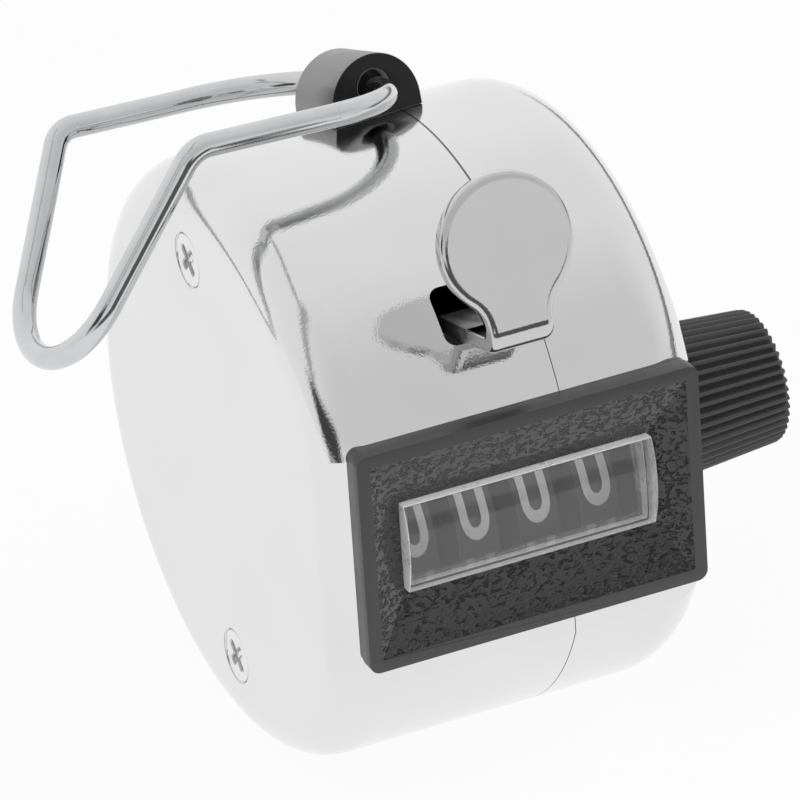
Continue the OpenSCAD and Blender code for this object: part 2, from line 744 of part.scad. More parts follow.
// One wheel: digit band, hub, gear ring on the right and carry finger on the left
module number_wheel(i, has_gear, has_finger, has_ratchet) {
    x = first_wheel_x + i * wheel_pitch;
    ratchet_root = ratchet_r - ratchet_depth;
    tooth_at = hook_dir - hook_lead;
    right_end = has_ratchet ? train_end_x : x + hub_half;
    translate([0, shaft_y, shaft_z]) difference() {
        union() {
            bar(x - band_half, x + band_half, 0, 0, wheel_r);
            bar(x - hub_half, right_end, 0, 0, hub_r);
            if (has_gear) along_x(x + band_half, gear_w)
                rotate(pinion_angle + 180 / gear_teeth) gear_ring();
            if (has_finger) {
                bar(x - band_half - finger_w, x - band_half, 0, 0, finger_disc_r);
                along_x(x - band_half - finger_w, finger_w)
                    rotate(pinion_angle - 18) translate([0, -0.4]) square([finger_r, 0.8]);
            }
            if (has_ratchet) along_x(ratchet_x, ratchet_w)
                polygon([for (k = [0 : 9], s = [0, 1])
                    let (a = tooth_at + 36 * k + (s == 0 ? 0 : 0.01), r = s == 0 ? ratchet_r : ratchet_root)
                    [r * cos(a), r * sin(a)]]);
        }
        bar(x - hub_half - 1, right_end + 1, 0, 0, shaft_r + run_fit);
    }
}

module thousands_wheel() color(black) number_wheel(0, true, false, false);
module hundreds_wheel() color(black) number_wheel(1, true, true, false);
module tens_wheel() color(black) number_wheel(2, true, true, false);
module units_wheel() color(black) number_wheel(3, false, true, true);

// Transfer pinion between wheel i and the next: eight teeth for the gear ring,
// every second tooth carried on to meet the carry finger
module transfer_pinion(i) {
    x0 = first_wheel_x + i * wheel_pitch + band_half + side_gap;
    x1 = x0 + gear_w;
    x2 = first_wheel_x + (i + 1) * wheel_pitch - band_half - side_gap;
    tip = pinion_r + tooth_up - 0.1;
    root = pinion_r - tooth_down;
    translate([0, pinion_y, pinion_z]) difference() {
        union() {
            along_x(x0, gear_w) rotate(pinion_angle)
                polygon(gear_points(pinion_teeth, tip, root, 0.4, 1.1, 1));
            along_x(x1, x2 - x1) rotate(pinion_angle + 180 / pinion_teeth * 2) intersection() {
                circle(tip - 0.1);
                union() {
                    circle(pinion_hub_r);
                    for (k = [0 : 3]) rotate(90 * k) translate([0, -0.4]) square([pinion_r + 1, 0.8]);
                }
            }
        }
        bar(x0 - 1, x2 + 1, 0, 0, pinion_shaft_r + run_fit);
    }
}

module thousands_pinion() color(brass_tone) transfer_pinion(0);
module hundreds_pinion() color(brass_tone) transfer_pinion(1);
module tens_pinion() color(brass_tone) transfer_pinion(2);

module pinion_shaft() {
    color(steel) bar(left_plate_x, right_plate_x + plate_t, pinion_y, pinion_z, pinion_shaft_r);
}

left_clip_x = left_plate_x - side_gap - clip_t;
right_clip_x = right_plate_x + plate_t + side_gap;

module wheel_shaft() {
    color(steel) difference() {
        bar(left_clip_x - 0.5, knob_x + knob_bore - side_gap, shaft_y, shaft_z, shaft_r);
        for (x = [left_clip_x, right_clip_x]) clip_ring(x, shaft_r + 1, shaft_r - clip_groove, 0);
    }
}

module clip_ring(x, outer, inner, spare) {
    difference() {
        bar(x + spare, x + clip_t - spare, shaft_y, shaft_z, outer);
        bar(x - 1, x + clip_t + 1, shaft_y, shaft_z, inner);
    }
}

module shaft_clips() {
    color(steel) for (x = [left_clip_x, right_clip_x])
        clip_ring(x, clip_r, shaft_r - clip_groove + fix_fit, fix_fit);
}

module wheel_spacers() {
    left_x0 = left_plate_x + plate_t + fix_fit;
    right_x0 = train_end_x + side_gap / 2;
    color(brass_tone) for (run = [[left_x0, first_wheel_x - hub_half - side_gap / 2], [right_x0, right_plate_x - fix_fit]])
        difference() {
            bar(run[0], run[1], shaft_y, shaft_z, spacer_r);
            bar(run[0] - 1, run[1] + 1, shaft_y, shaft_z, shaft_r + run_fit);
        }
}

module shaft_bush() {
    inner_x = case_w - case_wall;
    color(brass_tone) difference() {
        union() {
            bar(inner_x - bush_flange_t, inner_x - fix_fit, shaft_y, shaft_z, bush_flange_r);
            bar(inner_x - bush_flange_t, case_w, shaft_y, shaft_z, bush_r);
        }
        bar(inner_x - 2, case_w + 1, shaft_y, shaft_z, shaft_r + run_fit);
    }
}

// Frame plate with the holes that carry the shafts, pillars and posts
module frame_plate(x) {
    difference() {
        along_x(x, plate_t) difference() {
            intersection() {
                circle(plate_r, $fn = 128);
                translate([-plate_front, -case_r]) square([plate_front + plate_back, case_d]);
            }
            translate([screw_y + screw_skew, screw_z]) circle(post_d / 2 + fix_fit);
            translate([screw_y - screw_skew, -screw_z]) circle(post_d / 2 + fix_fit);
            for (p = pillars) translate(p) circle(stud_r + fix_fit);
            translate([shaft_y, shaft_z]) circle(shaft_r + run_fit);
            translate([pinion_y, pinion_z]) circle(pinion_shaft_r + fix_fit);
            translate([pivot_y, pivot_z]) circle(pivot_r + fix_fit);
            for (p = [lighten_low, lighten_high]) translate([shaft_y, shaft_z] + p) circle(lighten_r);
        }
    }
}

module left_frame_plate() color(steel) frame_plate(left_plate_x);
module right_frame_plate() color(steel) frame_plate(right_plate_x);

module frame_pillars() {
    color(steel) for (p = pillars) {
        bar(left_plate_x + plate_t, right_plate_x, p[0], p[1], pillar_r);
        bar(left_plate_x, right_plate_x + plate_t, p[0], p[1], stud_r);
    }
}

module case_posts() {
    color(steel) difference() {
        screw_places() bar(case_wall, case_w - case_wall, 0, 0, post_d / 2);
        screw_places() {
            head_cone(seat_gap);
            bar(0, screw_len + 1, 0, 0, screw_d / 2 + run_fit);
        }
    }
}

module lever_pivot_pin() {
    color(steel) bar(left_plate_x, right_plate_x + plate_t, pivot_y, pivot_z, pivot_r);
}

// Tube along a list of points; the faces join ring to ring and close both ends
function frame_side(d) = unit(cross(d, abs(d.x) > 0.9 ? [0, 1, 0] : [1, 0, 0]));
module swept_wire(pts, r, sides) {
    n = len(pts);
    rings = [for (i = [0 : n - 1])
        let (d = unit(pts[min(i + 1, n - 1)] - pts[max(i - 1, 0)]), s = frame_side(d), t = cross(d, s))
        for (k = [0 : sides - 1]) pts[i] + r * (cos(360 / sides * k) * s + sin(360 / sides * k) * t)];
    walls = [for (i = [0 : n - 2], k = [0 : sides - 1])
        let (a = i * sides + k, b = i * sides + (k + 1) % sides)
        each [[a, b + sides, b], [a, a + sides, b + sides]]];
    start_cap = [for (k = [1 : sides - 2]) [0, k, k + 1]];
    end_cap = [for (k = [1 : sides - 2]) (n - 1) * sides * [1, 1, 1] + [0, k + 1, k]];
    polyhedron(rings, concat(walls, start_cap, end_cap));
}

// Torsion spring round the pivot pin: one leg behind the lever web, one towards the front
function coil_point(turn) = [coil_x + coil_pitch * turn, pivot_y + coil_r * cos(360 * turn - arm_slope),
    pivot_z + coil_r * sin(360 * turn - arm_slope)];
module lever_return_spring() {
    rings_a_turn = 8;
    coil = [for (i = [0 : coil_turns * rings_a_turn]) coil_point(i / rings_a_turn)];
    leg_way = [0, sin(arm_slope), cos(arm_slope)];
    first_leg = coil_point(0) - leg_way * coil_leg * 0.6;
    last_leg = coil_point(coil_turns) + leg_way * coil_leg;
    echo(coil_gap = coil_pitch - 2 * coil_wire_r);
    color(steel) swept_wire(concat([first_leg], coil, [last_leg]), coil_wire_r, 6);
}

// Pawl frame: its pin at the origin, X along the arm to the hook, Y towards the ratchet
module at_pawl(x) {
    translate([x, pawl_y, pawl_z]) rotate([hook_dir - 90, 0, 0]) rotate([90, 0, 90]) mirror([0, 1, 0]) children();
}

module drive_pawl() {
    color(steel) difference() {
        at_pawl(pawl_x) linear_extrude(pawl_t) {
            circle(pawl_boss_r);
            translate([0, -pawl_arm_out]) square([pawl_len + hook_w / 2, pawl_arm_out - pawl_arm_in]);
            translate([pawl_len - hook_w / 2, -pawl_arm_out]) square([hook_w, pawl_arm_out]);
        }
        bar(pawl_x - 1, pawl_x + 2, pawl_y, pawl_z, pawl_pin_r + run_fit);
    }
}

module pawl_pin() {
    color(steel) bar(pawl_x, right_cheek_x + cheek_t, pawl_y, pawl_z, pawl_pin_r);
}

// Leaf on the cheek that leans on the back of the pawl
module pawl_spring() {
    leaf_y = -pawl_arm_out - spring_gap - leaf_t;
    color(steel) {
        at_pawl(pawl_x) linear_extrude(pawl_t) translate([0, leaf_y]) square([pawl_len - leaf_short, leaf_t]);
        at_pawl(pawl_x) linear_extrude(right_cheek_x - pawl_x) translate([-leaf_back, leaf_y]) square([leaf_foot, leaf_t]);
    }
}

// Three spring fingers on one strip, each ending between two teeth of a gear ring
module detent_comb() {
    base_y = pillars[1][0] - pillar_r - side_gap - comb_t;
    base_z = pillars[1][1];
    tip_r = gear_r + tooth_up + spring_gap;
    tip_y = shaft_y + tip_r + comb_t;
    tip_z = shaft_z + 1;
    run = norm([base_y - tip_y, base_z - tip_z]);
    lean = atan2(base_z - tip_z, base_y - tip_y);
    comb_x0 = first_wheel_x + band_half;
    comb_x1 = first_wheel_x + 2 * wheel_pitch + band_half + gear_w;
    color(steel) {
        translate([comb_x0, base_y, base_z - comb_h / 2]) cube([comb_x1 - comb_x0, comb_t, comb_h]);
        for (i = [0 : 2]) {
            x = first_wheel_x + i * wheel_pitch + band_half + side_gap;
            along_x(x, gear_w - side_gap) translate([tip_y, tip_z]) rotate(lean) square([run + comb_t, comb_t]);
        }
    }
}

// Flat spring under the ratchet that keeps the units wheel from turning back
module units_click_spring() {
    start_y = pillars[0][0] + pillar_r * 0.5;
    start_z = pillars[0][1] - pillar_r - comb_t;
    tip_y = shaft_y + click_past;
    tip_z = shaft_z - ratchet_r - spring_gap - comb_t;
    run = norm([tip_y - start_y, tip_z - start_z]);
    color(steel) along_x(ratchet_x, ratchet_w) translate([start_y - click_foot, start_z]) {
        square([click_foot, comb_t]);
        translate([click_foot, 0]) rotate(atan2(tip_z - start_z, tip_y - start_y)) square([run, comb_t]);
    }
}

left_shell();
right_shell();
bezel();
window_lens();
case_screws();
ring_ferrule();
finger_ring();
thumb_lever();
reset_knob();
thousands_wheel();
hundreds_wheel();
tens_wheel();
units_wheel();
thousands_pinion();
hundreds_pinion();
tens_pinion();
pinion_shaft();
wheel_shaft();
wheel_spacers();
shaft_clips();
shaft_bush();
left_frame_plate();
right_frame_plate();
frame_pillars();
case_posts();
lever_pivot_pin();
lever_return_spring();
drive_pawl();
pawl_pin();
pawl_spring();
detent_comb();
units_click_spring();
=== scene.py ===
import bpy, bmesh, json, math
from mathutils import Matrix, Vector


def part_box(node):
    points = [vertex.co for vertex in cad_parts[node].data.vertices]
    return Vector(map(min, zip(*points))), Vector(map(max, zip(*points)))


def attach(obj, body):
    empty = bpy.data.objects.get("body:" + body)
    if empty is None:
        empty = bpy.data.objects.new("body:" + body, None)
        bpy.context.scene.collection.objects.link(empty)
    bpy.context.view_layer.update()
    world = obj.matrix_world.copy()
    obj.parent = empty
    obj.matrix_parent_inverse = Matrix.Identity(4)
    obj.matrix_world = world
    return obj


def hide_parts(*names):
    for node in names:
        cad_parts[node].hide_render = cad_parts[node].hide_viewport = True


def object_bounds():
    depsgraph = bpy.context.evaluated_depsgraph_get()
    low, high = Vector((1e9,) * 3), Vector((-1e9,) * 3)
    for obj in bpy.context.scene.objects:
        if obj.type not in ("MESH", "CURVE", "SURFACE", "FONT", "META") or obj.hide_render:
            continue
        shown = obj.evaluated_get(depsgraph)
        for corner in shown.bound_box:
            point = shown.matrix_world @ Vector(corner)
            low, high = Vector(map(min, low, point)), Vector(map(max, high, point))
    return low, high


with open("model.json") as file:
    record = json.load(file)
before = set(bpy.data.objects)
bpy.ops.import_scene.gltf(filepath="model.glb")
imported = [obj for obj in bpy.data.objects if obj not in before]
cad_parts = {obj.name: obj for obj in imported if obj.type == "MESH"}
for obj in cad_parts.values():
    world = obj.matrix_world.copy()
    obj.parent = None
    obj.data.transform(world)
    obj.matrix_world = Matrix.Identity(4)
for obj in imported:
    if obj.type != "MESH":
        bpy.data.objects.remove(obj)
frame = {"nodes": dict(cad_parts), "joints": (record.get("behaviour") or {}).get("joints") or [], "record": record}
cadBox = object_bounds()
nodes = frame["nodes"]
scene = bpy.context.scene
mm = 0.001
middleX = 0.015
noiseSpan = (0.3, 0.7)  # where most of a noise lies
print("frame loaded,", len(nodes), "nodes")


def hexColour(code):
    parts = [int(code[i:i + 2], 16) / 255 for i in (1, 3, 5)]
    linear = [c / 12.92 if c <= 0.04045 else ((c + 0.055) / 1.055) ** 2.4 for c in parts]
    return (*linear, 1.0)


def addNode(tree, kind, inputs=None, **settings):
    node = tree.nodes.new(kind)
    for key, value in settings.items():
        setattr(node, key, value)
    for key, value in (inputs or {}).items():
        if isinstance(value, bpy.types.NodeSocket):
            tree.links.new(value, node.inputs[key])
        else:
            node.inputs[key].default_value = value
    return node


def newMaterial(name):
    mat = bpy.data.materials.new(name)
    mat.use_nodes = True
    tree = mat.node_tree
    tree.nodes.clear()
    place = addNode(tree, "ShaderNodeTexCoord").outputs["Object"]
    return mat, tree, place


def perMetre(sizeMm):
    return 1000.0 / sizeMm


# Camera: the photograph's viewing angle, a long lens from about 0.6 m. Lengths in mm, focal and centre in pixels
camera = {
    "target": (15.0, 0.0, 0.0),
    "azimuth": -23.57, "elevation": 28.289, "roll": -3.945,
    "distance": 610.55, "focal": 8369.3, "centre": (404.625, 413.495),
    "picture": 800.0, "sensor": 36.0, "clip": (0.05, 10.0),
}


def makeCamera(c):
    az, el, roll = (math.radians(c[k]) for k in ("azimuth", "elevation", "roll"))
    back = Vector((math.sin(az) * math.cos(el), -math.cos(az) * math.cos(el), math.sin(el)))
    right = Vector((math.cos(az), math.sin(az), 0.0))
    up = back.cross(right)
    rolledRight = right * math.cos(roll) + up * math.sin(roll)
    rolledUp = up * math.cos(roll) - right * math.sin(roll)
    half = c["picture"] / 2
    data = bpy.data.cameras.new("productCamera")
    data.sensor_width = c["sensor"]
    data.lens = c["focal"] * c["sensor"] / c["picture"]
    data.shift_x = (half - c["centre"][0]) / c["picture"]
    data.shift_y = (c["centre"][1] - half) / c["picture"]
    data.clip_start, data.clip_end = c["clip"]
    cam = bpy.data.objects.new("productCamera", data)
    place = Matrix((rolledRight, rolledUp, back)).transposed().to_4x4()
    place.translation = Vector(c["target"]) * mm + back * c["distance"] * mm
    cam.matrix_world = place
    scene.collection.objects.link(cam)
    scene.camera = cam


makeCamera(camera)
print("camera set")


# Most finishes are two noises: patches that vary tone and gloss, and a fine grain in relief
def plainFinish(name, look, sockets):
    mat, tree, place = newMaterial(name)
    patch, grain = [addNode(tree, "ShaderNodeTexNoise", {
        "Vector": place, "Scale": perMetre(look[size]), "Detail": 3.0}).outputs[0] for size in ("patchMm", "grainMm")]
    tone = addNode(tree, "ShaderNodeMixRGB", {
        "Fac": patch, "Color1": hexColour(look["dark"]), "Color2": hexColour(look["light"])})
    haze = addNode(tree, "ShaderNodeMapRange", {
        "Value": patch, "From Min": noiseSpan[0], "From Max": noiseSpan[1],
        "To Min": look["rough"][0], "To Max": look["rough"][1]})
    relief = addNode(tree, "ShaderNodeBump", {"Height": grain, "Distance": look["grainDepth"], "Strength": 1.0})
    inputs = {"Base Color": tone.outputs[0], "Roughness": haze.outputs[0], "Normal": relief.outputs[0]}
    shader = addNode(tree, "ShaderNodeBsdfPrincipled", {**inputs, **sockets})
    addNode(tree, "ShaderNodeOutputMaterial", {"Surface": shader.outputs[0]})
    return mat


# How far a face is turned from the eye, from 0 to 1 over a span
def seenAtSlant(tree, span):
    facing = addNode(tree, "ShaderNodeLayerWeight", {"Blend": 0.5}).outputs["Facing"]
    fade = addNode(tree, "ShaderNodeMapRange", {"Value": facing, "From Min": span[0], "From Max": span[1]},
                   interpolation_type="SMOOTHSTEP")
    return fade.outputs[0]


# The shadow of a clear moulding is nearly clear, so the wheels behind it are lit
def withClearShadow(tree, shader, colour):
    through = addNode(tree, "ShaderNodeBsdfTransparent", {"Color": hexColour(colour)})
    shade = addNode(tree, "ShaderNodeLightPath").outputs["Is Shadow Ray"]
    mixed = addNode(tree, "ShaderNodeMixShader", {0: shade, 1: shader.outputs[0], 2: through.outputs[0]})
    addNode(tree, "ShaderNodeOutputMaterial", {"Surface": mixed.outputs[0]})


# Chrome plate on pressed steel, buffed on a soft wheel: a clear mirror, with a fine peel in the plating that frays the
# edges of what it reflects, and a darker grey along the seam between the shells, only high on the case.
chrome = {
    "colour": "#e7e7e7", "dull": "#dfdfdf", "rough": (0.035, 0.08),
    "peelMm": 0.17, "peelDepth": 6.5e-6, "waveMm": 9.0, "waveDepth": 1.2e-5,
    "seamX": 18.2, "seamDarkening": (0.04, 0.13), "darkAbove": (13.0, 18.0), "seamGrey": "#949494",
}
chromePlate, tree, place = newMaterial("chromePlate")
peel = addNode(tree, "ShaderNodeTexNoise", {"Vector": place, "Scale": perMetre(chrome["peelMm"]), "Detail": 2.0})
wave = addNode(tree, "ShaderNodeTexNoise", {"Vector": place, "Scale": perMetre(chrome["waveMm"]), "Detail": 1.0})
haze = addNode(tree, "ShaderNodeMapRange", {
    "Value": wave.outputs[0], "From Min": noiseSpan[0], "From Max": noiseSpan[1],
    "To Min": chrome["rough"][0], "To Max": chrome["rough"][1]})
tone = addNode(tree, "ShaderNodeMixRGB", {
    "Fac": wave.outputs[0], "Color1": hexColour(chrome["dull"]), "Color2": hexColour(chrome["colour"])})
swell = addNode(tree, "ShaderNodeBump", {
    "Height": wave.outputs[0], "Distance": chrome["waveDepth"], "Strength": 1.0})
fray = addNode(tree, "ShaderNodeBump", {
    "Height": peel.outputs[0], "Distance": chrome["peelDepth"], "Strength": 1.0, "Normal": swell.outputs[0]})
spot = addNode(tree, "ShaderNodeSeparateXYZ", {0: place}).outputs
away = addNode(tree, "ShaderNodeMath", {0: spot["X"], 1: chrome["seamX"] * mm}, operation="SUBTRACT")
away = addNode(tree, "ShaderNodeMath", {0: away.outputs[0]}, operation="ABSOLUTE")
# darker grey along the seam between the shells, only above a set height on the case
seamDarkening = addNode(tree, "ShaderNodeMapRange", {
    "Value": away.outputs[0], "From Min": chrome["seamDarkening"][1] * mm, "From Max": chrome["seamDarkening"][0] * mm},
    interpolation_type="SMOOTHSTEP")
high = addNode(tree, "ShaderNodeMapRange", {
    "Value": spot["Z"], "From Min": chrome["darkAbove"][0] * mm, "From Max": chrome["darkAbove"][1] * mm})
seamDarkening = addNode(tree, "ShaderNodeMath", {0: seamDarkening.outputs[0], 1: high.outputs[0]}, operation="MULTIPLY")
tone = addNode(tree, "ShaderNodeMixRGB", {
    "Fac": seamDarkening.outputs[0], "Color1": tone.outputs[0], "Color2": hexColour(chrome["seamGrey"])})
shader = addNode(tree, "ShaderNodeBsdfPrincipled", {
    "Base Color": tone.outputs[0], "Metallic": 1.0, "Roughness": haze.outputs[0], "Normal": fray.outputs[0]})
addNode(tree, "ShaderNodeOutputMaterial", {"Surface": shader.outputs[0]})

# Nickel plate on stamped steel sheet, left satin from the barrel: grey, soft reflections, a sandy grain.
# The real grain is about 0.05 mm, too fine to show, so it is drawn at 0.2 mm.
nickel = {"light": "#cfcfcf", "dark": "#c4c4c4", "rough": (0.08, 0.13),
          "patchMm": 3.5, "grainMm": 0.2, "grainDepth": 5e-6}
satinNickel = plainFinish("satinNickel", nickel, {"Metallic": 1.0})

# The same sheet at its sheared edges and on the yoke, which the barrel doesn't polish: torn, dull and scattering.
sheared = {"light": "#cdcdcd", "dark": "#b4b4b4", "rough": (0.42, 0.58),
           "patchMm": 0.8, "grainMm": 0.3, "grainDepth": 8e-6}
shearedNickel = plainFinish("shearedNickel", sheared, {"Metallic": 1.0})

# Spring steel wire, drawn through a die and flash plated: greyer than the case, with fine draw marks that soften
# what it mirrors. They are about 0.03 mm apart on the real wire and drawn at 0.15 mm.
wire = {"light": "#dadbdc", "dark": "#c6c7c8", "rough": (0.06, 0.12),
        "patchMm": 2.5, "grainMm": 0.15, "grainDepth": 2e-6}
drawnWire = plainFinish("drawnWire", wire, {"Metallic": 1.0})

# Zinc-plated steel, turned and polished: the screw heads, brighter and a little rougher than the chrome.
zinc = {"light": "#ebebeb", "dark": "#e0e0e0", "rough": (0.12, 0.18),
        "patchMm": 0.5, "grainMm": 0.25, "grainDepth": 2e-6}
zincSteel = plainFinish("zincSteel", zinc, {"Metallic": 1.0})

# The broken edges of the same screws: dull, and darker as painted shade on the rounded rims.
rimShade = {"light": "#d4d4d4", "dark": "#b2b2b2", "rough": (0.4, 0.5),
          "patchMm": 0.3, "grainMm": 0.25, "grainDepth": 2e-6}
zincRimShade = plainFinish("zincRimShade", rimShade, {"Metallic": 1.0})

# ABS moulded in a polished tool: near black, an even half-gloss skin with faint flow marks.
moulding = {"light": "#3e3e3f", "dark": "#333334", "rough": (0.28, 0.4),
            "patchMm": 2.5, "grainMm": 0.18, "grainDepth": 2.5e-6}
mouldedAbs = plainFinish("mouldedAbs", moulding, {"IOR": 1.53, "Specular IOR Level": 0.55})

# Nylon, moulded and handled: black, painted paler where it is seen at a slant, a painted sheen.
nylon = {
    "colour": "#0d0d0e", "light": "#171718", "paintedSheen": "#9c9c9c", "slant": (0.24, 0.5), "rough": (0.34, 0.46),
    "flowMm": 1.6, "flowDepth": 1e-5,
}
nylonWithPaintedSheen, tree, place = newMaterial("nylonWithPaintedSheen")
flow = addNode(tree, "ShaderNodeTexNoise", {"Vector": place, "Scale": perMetre(nylon["flowMm"]), "Detail": 4.0})
tone = addNode(tree, "ShaderNodeMixRGB", {
    "Fac": flow.outputs[0], "Color1": hexColour(nylon["colour"]), "Color2": hexColour(nylon["light"])})
haze = addNode(tree, "ShaderNodeMapRange", {
    "Value": flow.outputs[0], "From Min": noiseSpan[0], "From Max": noiseSpan[1],
    "To Min": nylon["rough"][0], "To Max": nylon["rough"][1]})
sand = addNode(tree, "ShaderNodeBump", {"Height": flow.outputs[0], "Distance": nylon["flowDepth"], "Strength": 1.0})
# painted sheen: the colour turns paler where the face is seen at a slant
tone = addNode(tree, "ShaderNodeMixRGB", {
    "Fac": seenAtSlant(tree, nylon["slant"]), "Color1": tone.outputs[0], "Color2": hexColour(nylon["paintedSheen"])})
shader = addNode(tree, "ShaderNodeBsdfPrincipled", {
    "Base Color": tone.outputs[0], "Roughness": haze.outputs[0], "IOR": 1.53, "Specular IOR Level": 0.28,
    "Normal": sand.outputs[0]})
addNode(tree, "ShaderNodeOutputMaterial", {"Surface": shader.outputs[0]})

# The same ABS as the rim, moulded against an etched tool: a leather grain of short creases about half a millimetre
# long. Its ridges are painted lighter than its creases and the creases get less gloss, painted shade in the creases;
# the slopes that are seen at a slant are painted paler, a painted sheen.
leather = {
    "colour": "#0b0b0c", "ridgeHighlight": "#151516", "paintedSheen": "#343435", "slant": (0.16, 0.38),
    "rough": (0.26, 0.16), "creaseShadeGloss": (0.4, 0.74),
    "creaseMm": 0.35, "creaseDepth": 1e-4, "long": 1.5, "folded": (0.32, 0.54),
}
grainedAbs, tree, place = newMaterial("grainedAbs")
shaped = addNode(tree, "ShaderNodeMapping", {"Vector": place, "Scale": (1.0 / leather["long"], 1.0, 1.0)})
crease = addNode(tree, "ShaderNodeTexNoise", {
    "Vector": shaped.outputs[0], "Scale": perMetre(leather["creaseMm"]), "Detail": 1.0, "Roughness": 0.55,
    "Distortion": 0.7})
folds = addNode(tree, "ShaderNodeMapRange", {
    "Value": crease.outputs[0], "From Min": leather["folded"][0], "From Max": leather["folded"][1]},
    interpolation_type="SMOOTHSTEP")
# painted shade: the creases darker than the ridges
tone = addNode(tree, "ShaderNodeMixRGB", {
    "Fac": folds.outputs[0], "Color1": hexColour(leather["colour"]), "Color2": hexColour(leather["ridgeHighlight"])})
# painted sheen: paler where the slope is seen at a slant
tone = addNode(tree, "ShaderNodeMixRGB", {
    "Fac": seenAtSlant(tree, leather["slant"]), "Color1": tone.outputs[0], "Color2": hexColour(leather["paintedSheen"])})
# painted shade: less gloss in the creases
haze, creaseShadeGloss = [addNode(tree, "ShaderNodeMapRange", {
    "Value": folds.outputs[0], "To Min": leather[key][0], "To Max": leather[key][1]}) for key in ("rough", "creaseShadeGloss")]
hide = addNode(tree, "ShaderNodeBump", {
    "Height": folds.outputs[0], "Distance": leather["creaseDepth"], "Strength": 1.0})
shader = addNode(tree, "ShaderNodeBsdfPrincipled", {
    "Base Color": tone.outputs[0], "Roughness": haze.outputs[0], "IOR": 1.53,
    "Specular IOR Level": creaseShadeGloss.outputs[0], "Normal": hide.outputs[0]})
addNode(tree, "ShaderNodeOutputMaterial", {"Surface": shader.outputs[0]})

# Polystyrene moulding, dyed charcoal and left matt, for the number wheels: dark grey, with no glare in the window.
styrene = {"light": "#4a4b4c", "dark": "#3c3d3e", "rough": (0.48, 0.62),
           "patchMm": 1.2, "grainMm": 0.3, "grainDepth": 3e-6}
wheelStyrene = plainFinish("wheelStyrene", styrene, {"IOR": 1.55})

# White stamping foil, hot pressed on the wheels: flat, slightly uneven white.
foil = {"light": "#f9f9f8", "dark": "#efefee", "rough": (0.44, 0.56),
        "patchMm": 0.5, "grainMm": 0.25, "grainDepth": 2e-6}
whiteFoil = plainFinish("whiteFoil", foil, {"IOR": 1.5})

# Acrylic, moulded clear: glassy, with a trace of handling haze on the outside.
acrylic = {"colour": "#fefefe", "rough": (0.01, 0.06), "hazeMm": 4.0, "hazy": (0.35, 0.7),
           "flowDepth": 2e-6, "dust": 0.02}
clearAcrylic, tree, place = newMaterial("clearAcrylic")
smear = addNode(tree, "ShaderNodeTexNoise", {"Vector": place, "Scale": perMetre(acrylic["hazeMm"]), "Detail": 3.0})
haze = addNode(tree, "ShaderNodeMapRange", {
    "Value": smear.outputs[0], "From Min": acrylic["hazy"][0], "From Max": acrylic["hazy"][1],
    "To Min": acrylic["rough"][0], "To Max": acrylic["rough"][1]})
flow = addNode(tree, "ShaderNodeBump", {
    "Height": smear.outputs[0], "Distance": acrylic["flowDepth"], "Strength": 1.0})
glassy = addNode(tree, "ShaderNodeBsdfPrincipled", {
    "Base Color": hexColour(acrylic["colour"]), "Roughness": haze.outputs[0], "IOR": 1.49,
    "Transmission Weight": 1.0, "Normal": flow.outputs[0]})
dust = addNode(tree, "ShaderNodeBsdfDiffuse", {"Color": hexColour(acrylic["colour"])})
shader = addNode(tree, "ShaderNodeMixShader", {0: acrylic["dust"], 1: glassy.outputs[0], 2: dust.outputs[0]})
withClearShadow(tree, shader, acrylic["colour"])

# The sides of the same moulding, drawn out of the tool and scuffed: they scatter the light and show as pale edges.
frost = {"colour": "#fafafa", "share": (0.65, 0.95), "rough": (0.26, 0.34), "scuffMm": 0.6, "scuffDepth": 3e-6}
frostedAcrylic, tree, place = newMaterial("frostedAcrylic")
scuff = addNode(tree, "ShaderNodeTexNoise", {"Vector": place, "Scale": perMetre(frost["scuffMm"]), "Detail": 3.0})
part, haze = [addNode(tree, "ShaderNodeMapRange", {
    "Value": scuff.outputs[0], "From Min": noiseSpan[0], "From Max": noiseSpan[1],
    "To Min": frost[key][0], "To Max": frost[key][1]}) for key in ("share", "rough")]
sand = addNode(tree, "ShaderNodeBump", {"Height": scuff.outputs[0], "Distance": frost["scuffDepth"], "Strength": 1.0})
clear = addNode(tree, "ShaderNodeBsdfPrincipled", {
    "Base Color": hexColour(frost["colour"]), "Roughness": haze.outputs[0], "IOR": 1.49,
    "Transmission Weight": 1.0, "Normal": sand.outputs[0]})
pale = addNode(tree, "ShaderNodeBsdfDiffuse", {"Color": hexColour(frost["colour"])})
shader = addNode(tree, "ShaderNodeMixShader", {0: part.outputs[0], 1: clear.outputs[0], 2: pale.outputs[0]})
withClearShadow(tree, shader, frost["colour"])

# Turned brass, bright from the tool, for the pinions, bush and spacers: warm, with fine tool marks.
brass = {"light": "#c7ab68", "dark": "#a98e51", "rough": (0.2, 0.36),
         "patchMm": 0.4, "grainMm": 0.2, "grainDepth": 2e-6}
turnedBrass = plainFinish("turnedBrass", brass, {"Metallic": 1.0})

# Mild steel, blanked and zinc-dipped, for the works inside the case: dull grey with a mottle.
works = {"light": "#a2a3a6", "dark": "#818386", "rough": (0.34, 0.5),
         "patchMm": 1.5, "grainMm": 0.3, "grainDepth": 3e-6}
dippedSteel = plainFinish("dippedSteel", works, {"Metallic": 1.0})

slotMaterial = {"chrome_case": chromePlate, "nickel_lever": satinNickel, "screw_steel": zincSteel,
                "black_moulding": mouldedAbs, "wheel_moulding": wheelStyrene, "clear_moulding": clearAcrylic,
                "brass": turnedBrass, "inner_steel": dippedSteel}
slotOf = {part["node"]: part["material_slot"] for part in frame["record"]["subparts"]}
for name, node in nodes.items():
    node.data.materials.clear()
    node.data.materials.append(drawnWire if name == "finger_ring" else slotMaterial[slotOf[name]])
print("materials made")


